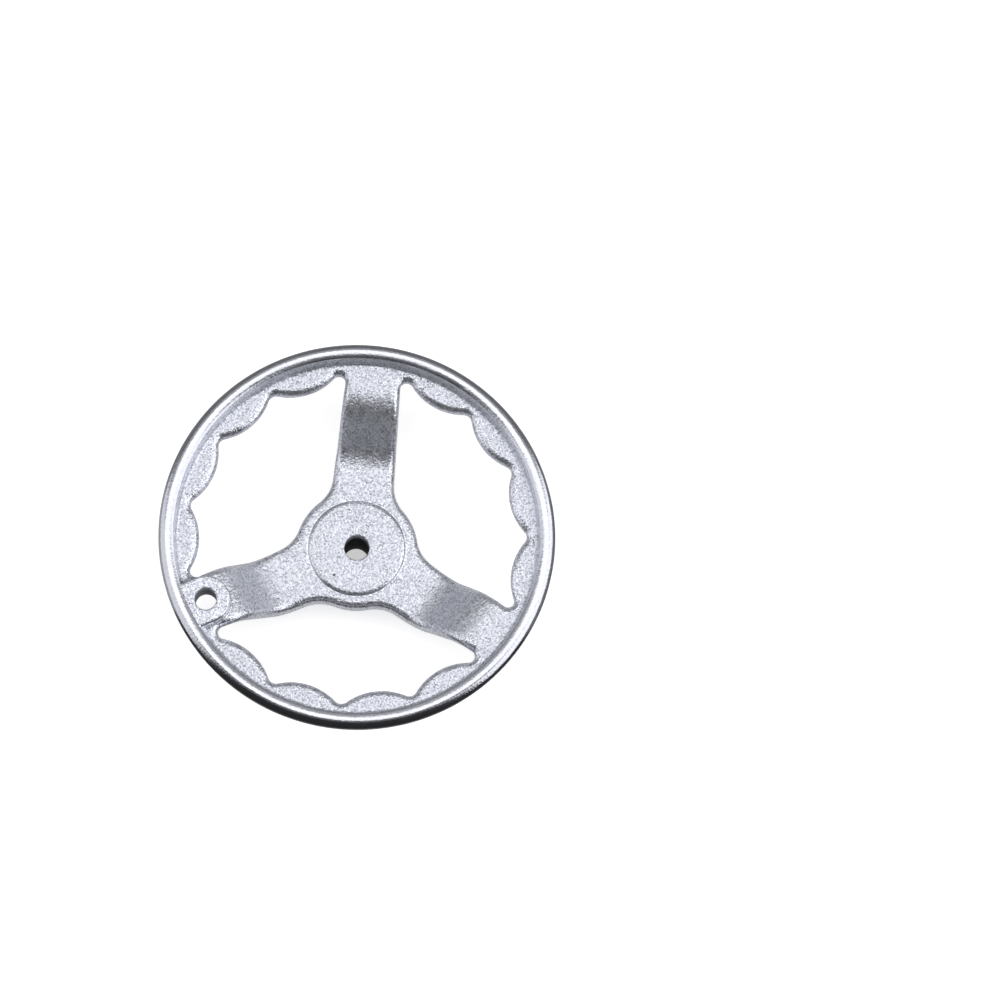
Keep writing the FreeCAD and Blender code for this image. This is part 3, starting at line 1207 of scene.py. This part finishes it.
@dataclass(frozen=True)
class CastSkin:
    """Geometry nodes that give the smooth casting the waves and pits of a sand-cast skin."""

    wave_mm: float = 0.07
    wave_size_mm: float = 7.0
    lump_mm: float = 0.025
    lump_size_mm: float = 2.2
    pit_mm: float = 0.16
    pit_r_mm: float = 0.8
    pits_per_m2: float = 2600.0
    seed: int = 7
    bump_detail: float = 1.0
    bump_edge: tuple[float, float] = (0.2, 0.8)

    def _inputs(self, finish: bpy.types.Material) -> dict[str, tuple[str, object]]:
        """Lists the tree's named inputs.

        Args:
            finish: Material that the tree sets.

        Returns:
            Name to the type of the socket and its value.
        """
        return {
            "Wave Height": ("NodeSocketFloat", self.wave_mm * MM),
            "Wave Size": ("NodeSocketFloat", self.wave_size_mm * MM),
            "Lump Height": ("NodeSocketFloat", self.lump_mm * MM),
            "Lump Size": ("NodeSocketFloat", self.lump_size_mm * MM),
            "Pit Depth": ("NodeSocketFloat", self.pit_mm * MM),
            "Pit Radius": ("NodeSocketFloat", self.pit_r_mm * MM),
            "Pit Density": ("NodeSocketFloat", self.pits_per_m2),
            "Seed": ("NodeSocketInt", self.seed),
            "Finish": ("NodeSocketMaterial", finish),
        }

    def tree(self, inputs: dict[str, tuple[str, object]]) -> bpy.types.NodeTree:
        """Builds the tree.

        Args:
            inputs: Its named inputs.

        Returns:
            The tree.
        """
        made = bpy.data.node_groups.new("cast_skin", "GeometryNodeTree")
        face = made.interface
        face.new_socket("Geometry", in_out="INPUT", socket_type="NodeSocketGeometry")
        for name, (kind, _) in inputs.items():
            face.new_socket(name, in_out="INPUT", socket_type=kind)
        face.new_socket("Geometry", in_out="OUTPUT", socket_type="NodeSocketGeometry")

        graph = NodeGraph(made)
        given = graph.add("NodeGroupInput").outputs
        skin = graph.add(
            "GeometryNodeInputNamedAttribute", {"Name": "cast"}, data_type="FLOAT"
        ).outputs["Attribute"]
        wave = self._bumps(graph, given["Wave Size"], given["Wave Height"])
        lump = self._bumps(graph, given["Lump Size"], given["Lump Height"])
        drop = graph.plus(graph.plus(wave, lump), self._pits(graph, given))
        normal = graph.add("GeometryNodeInputNormal").outputs[0]
        offset = graph.add(
            "ShaderNodeVectorMath",
            {0: normal, "Scale": graph.times(graph.times(drop, skin), -1.0)},
            operation="SCALE",
        ).outputs[0]
        moved = graph.add("GeometryNodeSetPosition", {"Geometry": given[0], "Offset": offset})
        joined = graph.add("GeometryNodeRealizeInstances", {"Geometry": moved.outputs[0]})
        dressed = graph.add(
            "GeometryNodeSetMaterial", {"Geometry": joined.outputs[0], "Material": given["Finish"]}
        )
        graph.add("NodeGroupOutput", {0: dressed.outputs[0]})
        return made

    def _bumps(self, graph: NodeGraph, size: Socket, height: Socket) -> Socket:
        """Adds soft bumps.

        Args:
            graph: The tree's nodes.
            size: Size of the bumps.
            height: Their height.

        Returns:
            The level, from nought to the height.
        """
        place = graph.add("GeometryNodeInputPosition").outputs[0]
        noise = graph.noise(place, graph.math("DIVIDE", 1.0, size), self.bump_detail)
        return graph.times(graph.ramp(noise, *self.bump_edge), height)

    @staticmethod
    def _pits(graph: NodeGraph, given: bpy.types.bpy_prop_collection) -> Socket:
        """Adds scattered shallow pits.

        Args:
            graph: The tree's nodes.
            given: The tree's inputs.

        Returns:
            Their depth.
        """
        points = graph.add(
            "GeometryNodeDistributePointsOnFaces",
            {"Mesh": given[0], "Density": given["Pit Density"], "Seed": given["Seed"]},
        ).outputs["Points"]
        near = graph.add(
            "GeometryNodeProximity", {"Geometry": points}, target_element="POINTS"
        ).outputs["Distance"]
        share = graph.math("DIVIDE", near, given["Pit Radius"])
        return graph.times(graph.ramp(share, 1.0, 0.0), given["Pit Depth"])

    def apply(self, piece: bpy.types.Object, finish: bpy.types.Material) -> None:
        """Runs the tree on a piece and keeps the result as its plain mesh.

        Args:
            piece: Object whose mesh gets the skin.
            finish: Material of the result.
        """
        inputs = self._inputs(finish)
        tree = self.tree(inputs)
        modifier = piece.modifiers.new("cast_skin", "NODES")
        modifier.node_group = tree
        for item in tree.interface.items_tree:
            if item.name in inputs:
                modifier[item.identifier] = inputs[item.name][1]
        bpy.context.view_layer.update()
        graph = bpy.context.evaluated_depsgraph_get()
        result = bpy.data.meshes.new_from_object(piece.evaluated_get(graph))
        piece.modifiers.clear()
        piece.data = result


@dataclass(frozen=True)
class SkinMarks:
    """Marks on the mesh for the finish and the skin's nodes, with their widths in millimetres."""

    relief: Relief
    bead_gap: float = 0.1
    bead_fade: float = 0.5
    bead_foot: float = 1.5
    bead_foot_fade: float = 2.0
    bead_smooth: float = 0.75
    bore_fade: float = 1.5
    back_fade: float = 1.0
    hole_fade: float = 1.0
    pad_fade: float = 0.5
    pad_wear: float = 0.75
    pad_skin_rise: float = 1.0
    pad_top_rise: float = 3.0
    pad_top_wear: float = 0.22
    window_wear: float = 1.3
    step_wear: float = 0.4
    hole_wall: float = 0.15
    hole_mouth: float = 0.3
    hole_shade: float = 0.6
    # Painted shade along the handle pad: a dark line in the crease on one straight side, and a
    # band in the corner behind the other
    crease_shade_from: tuple[float, float] = (49.0, 6.0)
    crease_shade_gap: float = 0.075
    crease_shade_half: float = 0.06
    corner_from: tuple[float, float] = (48.0, 5.0)
    corner_side_fade: float = 1.0
    corner_reach: float = 2.1
    corner_fade: float = 0.8
    corner_drop: float = 2.0
    corner_shade: float = 0.55
    ring_half: float = 0.3
    ring_shade: float = 0.3

    def write(self, mesh: bpy.types.Mesh, points: np.ndarray) -> None:
        """Writes the marks on a mesh.

        Args:
            mesh: Mesh that gets them.
            points: Its points in millimetres.
        """
        bead = self._bead(points)
        marks = {
            "bead": bead,
            "cast": self._cast(points, bead),
            # Dark mark: bare hole walls and painted shade
            "drilled_and_shade": self._drilled_and_shade(points, bead),
            "edge": self._edge(points) * (1 - bead),
        }
        for name, values in marks.items():
            layer = mesh.attributes.new(name, "FLOAT", "POINT")
            layer.data.foreach_set("value", values.astype(np.float32))

    @property
    def _step_r(self) -> float:
        """Radius of the middle of the step round the hub's face."""
        return self.relief.sizes.hub_face_r + self.relief.sizes.hub_step_run / 2

    def _bead(self, points: np.ndarray) -> np.ndarray:
        """Marks the polished rim.

        Args:
            points: Points in millimetres.

        Returns:
            The mark.
        """
        s = self.relief.sizes
        inner = s.bead_centre[0] - s.bead_r
        beyond = np.linalg.norm(points[:, :2], axis=1) - inner
        rim = rise(beyond, self.bead_gap, self.bead_fade)
        return rim * rise(points[:, 2] - s.flange_back, self.bead_foot, self.bead_foot_fade)

    def _cast(self, points: np.ndarray, bead: np.ndarray) -> np.ndarray:
        """Marks the rough skin, which fades on the rim, the holes, the hub's back and the pad.

        Args:
            points: Points in millimetres.
            bead: Mark of the polished rim.

        Returns:
            The mark.
        """
        s = self.relief.sizes
        plan, level = points[:, :2], points[:, 2]
        cast = 1 - self.bead_smooth * bead
        cast *= rise(np.linalg.norm(plan, axis=1), s.bore_r, self.bore_fade)
        cast *= rise(level, 0.0, self.back_fade)
        cast *= rise(s.from_hole(plan), s.handle_hole_r, self.hole_fade)
        on_pad = rise(self.relief.pad_edge(plan), 0.0, self.pad_fade)
        return cast * (1 - self.pad_wear * on_pad * (level > s.flange_top + self.pad_skin_rise))

    def _edge(self, points: np.ndarray) -> np.ndarray:
        """Marks what hands and handling wear smooth: all edges, and a little of the pad's top.

        Args:
            points: Points in millimetres.

        Returns:
            The mark.
        """
        s = self.relief.sizes
        plan = points[:, :2]
        off_step = np.abs(np.linalg.norm(plan, axis=1) - self._step_r)
        pad_edge = self.relief.pad_edge(plan)
        windows = self.window_wear - self.relief.windows.wall_distance(plan) / s.round_r
        on_pad = rise(pad_edge, 0.0, self.pad_fade)
        on_pad *= points[:, 2] > s.flange_top + self.pad_top_rise
        return np.maximum.reduce([
            np.clip(windows, 0, 1),
            np.clip(2 - np.abs(pad_edge) / self.step_wear, 0, 1),
            np.clip(2 - off_step / self.step_wear, 0, 1),
            self.pad_top_wear * on_pad,
        ])

    def _drilled_and_shade(self, points: np.ndarray, bead: np.ndarray) -> np.ndarray:
        """Marks the dark places: the bare walls of the bore and the handle hole, darkened further
        as painted shade inside the holes, and painted shade in the crease along the pad, in the
        corner behind it and at the hub's step.

        Args:
            points: Points in millimetres.
            bead: Mark of the polished rim.

        Returns:
            The mark.
        """
        s = self.relief.sizes
        plan, x, y, level = points[:, :2], *points.T
        radius = np.linalg.norm(plan, axis=1)
        pad_edge = self.relief.pad_edge(plan)
        # The bore and the handle hole are dark below their mouths: bare walls, darkened further as
        # painted shade inside the holes
        bore = 1 - rise(radius, s.bore_r, self.hole_wall)
        hole = 1 - rise(s.from_hole(plan), s.handle_hole_r, self.hole_wall)
        # Painted shade: a dark line in the crease along the pad's straight side that faces +Y
        crease_shade = np.abs(pad_edge - PAD_WALL - self.crease_shade_gap) < self.crease_shade_half
        crease_shade &= (x > self.crease_shade_from[0]) & (y > self.crease_shade_from[1])
        crease_shade &= radius < s.bead_centre[0] - s.bead_r
        # Painted shade in the corner behind the pad's straight side that faces -Y, on the flange
        # beside its foot
        corner = rise(pad_edge, -self.corner_reach, self.corner_fade) * (pad_edge < 0)
        corner *= level > s.flange_top - self.corner_drop
        (from_x, from_y), fade = self.corner_from, self.corner_side_fade
        corner *= rise(-y, from_y, fade) * rise(x, from_x, fade) * (1 - bead)
        ring = 1 - rise(np.abs(radius - self._step_r), 0.0, self.ring_half)
        return np.maximum.reduce([
            bore * (level < s.hub_length - self.hole_mouth),
            self.hole_shade * hole * (level < s.pad_top - self.hole_mouth),
            crease_shade,
            self.corner_shade * corner,
            self.ring_shade * ring * (level > s.disc_top - self.ring_half),
        ])


@dataclass
class Casting:
    """The wheel's one casting, from the bore to the bead."""

    sizes: WheelSizes = field(default_factory=WheelSizes)
    finish: PlatedCasting = field(default_factory=PlatedCasting)
    skin: CastSkin = field(default_factory=CastSkin)
    front_pitch: float = 0.62
    back_pitch: float = 1.0
    edge_step: float = 0.6

    def build(self) -> bpy.types.Object:
        """Builds the casting and puts it on the frame.

        Returns:
            The finished piece.
        """
        relief = Relief(self.sizes, WindowPlan(self.sizes))
        front = Mesher(relief, Side.FRONT, self.front_pitch, self.edge_step).build()
        back = Mesher(relief, Side.BACK, self.back_pitch, self.edge_step).build()
        points, faces = self._join(front, back)
        mesh = bpy.data.meshes.new("casting")
        mesh.from_pydata((points * MM).tolist(), [], faces)
        mesh.validate()
        SkinMarks(relief).write(mesh, points)
        mesh.polygons.foreach_set("use_smooth", np.ones(len(mesh.polygons), bool))
        piece = bpy.data.objects.new("casting", mesh)
        bpy.context.collection.objects.link(piece)
        self.skin.apply(piece, self.finish.material())
        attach(piece, ROOT)
        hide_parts("handwheel")
        return piece

    def _join(self, front: SkinMesh, back: SkinMesh) -> tuple[np.ndarray, list[list[int]]]:
        """Joins the two skins along the outside, the windows and the holes.

        Args:
            front: Mesh of the front.
            back: Mesh of the back.

        Returns:
            All points and all faces, which point outwards.
        """
        total = len(front.points)
        renamed = np.arange(len(back.points)) + total
        renamed[back.rows["outside"]] = front.rows["outside"]
        points = [front.points, back.points]
        total += len(back.points)
        faces = front.triangles.tolist() + renamed[back.triangles[:, ::-1]].tolist()
        for name, top in front.rows.items():
            if name == "outside":
                continue
            high, low = front.points[top], back.points[back.rows[name]]
            rings = [top]
            for k in range(1, STEPS.wall):
                points.append(high + (low - high) * (k / STEPS.wall))
                rings.append(np.arange(total, total + len(top)))
                total += len(top)
            rings.append(renamed[back.rows[name]])
            for upper, lower in zip(rings, rings[1:]):
                ahead, below = np.roll(upper, -1), np.roll(lower, -1)
                faces += np.stack([upper, ahead, below, lower], 1).tolist()
        return self._used(np.concatenate(points), faces)

    @staticmethod
    def _used(points: np.ndarray, faces: list[list[int]]) -> tuple[np.ndarray, list[list[int]]]:
        """Leaves out points that no face uses.

        Args:
            points: All points.
            faces: All faces.

        Returns:
            The points that are left, and the faces with their new numbers.
        """
        used = np.zeros(len(points), bool)
        used[np.concatenate([np.array(face) for face in faces])] = True
        number = np.cumsum(used) - 1
        return points[used], [[int(number[i]) for i in face] for face in faces]


@dataclass(frozen=True)
class View:
    """The camera, placed by the wheel's plane and by the pixel at which its middle shows."""

    distance: float = 0.9349
    elevation: float = 75.743
    azimuth: float = 152.426
    roll: float = 3.288
    target: tuple[float, float, float] = (0.0, 0.0, 0.03075)
    target_pixel: tuple[float, float] = (357.402, 537.906)
    focal_pixels: float = 2947.7
    frame_pixels: int = 1001
    sensor_mm: float = 36.0
    clip_end: float = 20.0

    def build(self) -> bpy.types.Object:
        """Builds the camera and makes it the scene's.

        Returns:
            The camera.
        """
        azimuth, elevation = math.radians(self.azimuth), math.radians(self.elevation)
        back = Vector((
            math.sin(azimuth) * math.cos(elevation),
            -math.cos(azimuth) * math.cos(elevation),
            math.sin(elevation),
        ))
        level = Vector((math.cos(azimuth), math.sin(azimuth), 0.0))
        upright = back.cross(level)
        roll = math.radians(self.roll)
        right = level * math.cos(roll) + upright * math.sin(roll)
        up = upright * math.cos(roll) - level * math.sin(roll)
        looking = Matrix((right, up, back)).transposed().to_quaternion()
        half = self.frame_pixels / 2
        pixel_x, pixel_y = self.target_pixel
        aim = Vector((pixel_x - half, half - pixel_y, -self.focal_pixels)).normalized()
        data = bpy.data.cameras.new("camera")
        data.sensor_width = self.sensor_mm
        data.lens = self.sensor_mm * self.focal_pixels / self.frame_pixels
        data.clip_end = self.clip_end
        camera = bpy.data.objects.new("camera", data)
        bpy.context.collection.objects.link(camera)
        camera.rotation_mode = "QUATERNION"
        camera.rotation_quaternion = looking @ aim.rotation_difference(Vector((0, 0, -1)))
        camera.location = Vector(self.target) + back * self.distance
        bpy.context.scene.camera = camera
        return camera


@dataclass(frozen=True)
class StudioCard:
    """Plain card round the wheel that only reflections see, in degrees and metres."""

    name: str
    middle: float
    half_width: float

    def turns(self, count: int) -> np.ndarray:
        """Directions over the card's width, in radians."""
        first, last = self.middle - self.half_width, self.middle + self.half_width
        return np.radians(np.linspace(first, last, count))

    def show(self, places: np.ndarray, level: float) -> None:
        """Builds the card on a grid of points.

        Args:
            places: Rows and columns of points, in metres.
            level: Brightness of the card.
        """
        rows, cols = places.shape[:2]
        corners = [r * cols + c for r in range(rows - 1) for c in range(cols - 1)]
        faces = [[k, k + 1, k + cols + 1, k + cols] for k in corners]
        mesh = bpy.data.meshes.new(self.name)
        mesh.from_pydata(places.reshape(-1, 3).tolist(), [], faces)
        card = bpy.data.objects.new(self.name, mesh)
        bpy.context.collection.objects.link(card)
        material = bpy.data.materials.new(self.name)
        material.use_nodes = True
        graph = NodeGraph(material.node_tree)
        colour = (level, level, level * CARD_BLUE, 1.0)
        glow = graph.add("ShaderNodeEmission", {"Color": colour, "Strength": 1.0})
        graph.add("ShaderNodeOutputMaterial", {"Surface": glow.outputs[0]})
        mesh.materials.append(material)
        card.visible_camera = False
        card.visible_diffuse = False
        card.visible_shadow = False
        card.visible_transmission = False


@dataclass(frozen=True)
class Card(StudioCard):
    """Card that is part of a bowl round the wheel."""

    low: float
    high: float
    level: float
    radius: float

    def build(self) -> None:
        """Builds the card."""
        rows, cols = BOWL_GRID
        lifts = np.radians(np.linspace(self.low, self.high, rows))
        around, up = np.meshgrid(self.turns(cols), lifts)
        outward = [np.cos(around) * np.cos(up), np.sin(around) * np.cos(up), np.sin(up)]
        self.show(self.radius * np.stack(outward, -1), self.level)


@dataclass(frozen=True)
class FloorCard(StudioCard):
    """Card that lies on the floor, a sector of a ring round the wheel."""

    level: float
    inner: float = 0.1
    outer: float = 2.0
    lift: float = 0.0004

    def build(self) -> None:
        """Builds the card."""
        around, far = np.meshgrid(self.turns(FLOOR_TURNS), np.array([self.inner, self.outer]))
        flat = [far * np.cos(around), far * np.sin(around), np.full(far.shape, self.lift)]
        self.show(np.stack(flat, -1), self.level)


@dataclass(frozen=True)
class Studio:
    """Pale floor and background, one wide overhead softbox and plain cards round the wheel."""

    view: View = field(default_factory=View)
    floor_r: float = 3.0
    floor_grey: float = 0.82
    floor_glow: float = 0.5
    softbox_height: float = 1.25
    softbox_front: float = 24.0
    softbox_back: float = 21.0
    softbox_side: float = 58.0
    softbox_level: float = 1.35
    fill: float = 0.45

    def build(self) -> None:
        """Builds the world, the floor, the lamp and the cards."""
        self._world()
        self._floor()
        self._softbox()
        for card in self._cards():
            card.build()

    def _cards(self) -> tuple[Card | FloorCard, ...]:
        """Lists the cards: the bowl by its elevations, and the floor by its distances.

        Returns:
            The cards.
        """
        front = self.view.azimuth - 90.0
        right, back, left = front + 90.0, front + 180.0, front - 90.0
        return (
            Card("dome", front, 180.0, -1.0, 90.0, 0.18, 2.2),
            Card("card_front", front, 55.0, -1.0, 60.0, 0.03, 1.8),
            Card("card_front_high", front, 82.0, 60.0, 78.0, 0.14, 1.7),
            Card("box_back_high", back, 90.0, 63.0, 90.0, 1.62, 1.6),
            Card("box_back_middle", back, 75.0, 38.0, 63.0, 0.45, 1.6),
            Card("box_front_top", front, 82.0, 82.0, 90.0, 1.0, 1.6),
            Card("box_right", right, 38.0, 12.0, 66.0, 1.45, 1.5),
            Card("box_left", left, 27.0, -1.0, 64.0, 0.95, 1.5),
            FloorCard("floor_inside", front, 180.0, 0.50, 0.018, 0.056),
            FloorCard("near_front", front, 70.0, 0.14, 0.056, 0.1),
            FloorCard("near_right", right, 20.0, 0.14, 0.056, 0.1),
            FloorCard("near_back", back, 70.0, 0.5, 0.056, 0.1),
            FloorCard("near_left", left, 20.0, 0.42, 0.056, 0.1),
            FloorCard("far_front", front, 70.0, 0.025),
            FloorCard("far_right", right, 20.0, 0.2),
            FloorCard("far_back", back, 70.0, 0.2),
            FloorCard("far_left", left, 20.0, 0.42),
        )

    @staticmethod
    def _seen(graph: NodeGraph) -> Socket:
        """Adds a factor that is 1 for rays that see the background itself or in metal.

        Args:
            graph: Nodes of the world or the floor.

        Returns:
            The factor.
        """
        path = graph.add("ShaderNodeLightPath").outputs
        both = graph.math("MAXIMUM", path["Is Camera Ray"], path["Is Glossy Ray"])
        return graph.math("MAXIMUM", both, path["Is Transmission Ray"])

    def _world(self) -> None:
        """Builds a white background over a soft grey fill."""
        world = bpy.data.worlds.new("studio")
        bpy.context.scene.world = world
        world.use_nodes = True
        graph = NodeGraph(world.node_tree)
        fill = (self.fill, self.fill, self.fill, 1.0)
        colour = graph.blend(self._seen(graph), fill, WHITE)
        sky = graph.add("ShaderNodeBackground", {"Color": colour, "Strength": 1.0})
        graph.add("ShaderNodeOutputWorld", {"Surface": sky.outputs[0]})

    def _floor(self) -> None:
        """Builds the floor, which looks white and keeps the wheel's shadow."""
        angles = np.linspace(0, 2 * math.pi, FLOOR_CORNERS, endpoint=False)
        ring = [(self.floor_r * math.cos(a), self.floor_r * math.sin(a), 0.0) for a in angles]
        mesh = bpy.data.meshes.new("floor")
        mesh.from_pydata(ring, [], [list(range(len(ring)))])
        floor = bpy.data.objects.new("floor", mesh)
        bpy.context.collection.objects.link(floor)
        material = bpy.data.materials.new("floor")
        material.use_nodes = True
        graph = NodeGraph(material.node_tree)
        grey = (self.floor_grey, self.floor_grey, self.floor_grey, 1.0)
        matt = graph.add("ShaderNodeBsdfDiffuse", {"Color": grey})
        glow = graph.add("ShaderNodeEmission", {"Color": WHITE, "Strength": self.floor_glow})
        lit = graph.add("ShaderNodeAddShader", {0: matt.outputs[0], 1: glow.outputs[0]})
        shaders = {0: self._seen(graph), 1: matt.outputs[0], 2: lit.outputs[0]}
        both = graph.add("ShaderNodeMixShader", shaders)
        graph.add("ShaderNodeOutputMaterial", {"Surface": both.outputs[0]})
        mesh.materials.append(material)

    def _softbox(self) -> None:
        """Builds the overhead lamp, long from left to right and narrower from front to back."""
        front = self.softbox_height * math.tan(math.radians(self.softbox_front))
        back = self.softbox_height * math.tan(math.radians(self.softbox_back))
        wide = 2 * self.softbox_height * math.tan(math.radians(self.softbox_side))
        lamp = bpy.data.lights.new("softbox", "AREA")
        lamp.shape = "RECTANGLE"
        lamp.size = wide
        lamp.size_y = front + back
        lamp.energy = self.softbox_level * math.pi * wide * (front + back)
        lamp.color = WHITE[:3]
        box = bpy.data.objects.new("softbox", lamp)
        bpy.context.collection.objects.link(box)
        turn = math.radians(self.view.azimuth)
        ahead = Vector((math.sin(turn), -math.cos(turn), 0.0)) * (front - back) / 2
        box.location = ahead + Vector((0, 0, self.softbox_height))
        box.rotation_euler = (0.0, 0.0, turn)
        box.visible_camera = False
        box.visible_glossy = False


def main() -> None:
    """Loads the frame, sets the camera and the studio, and builds the casting."""
    logging.basicConfig(level=logging.INFO, format="%(name)s: %(message)s")
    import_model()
    bpy.context.scene.view_settings.view_transform = "Standard"
    view = View()
    view.build()
    Studio(view).build()
    casting = Casting().build()
    LOG.info("%s: %d faces", casting.name, len(casting.data.polygons))


if __name__ == "__main__":
    main()
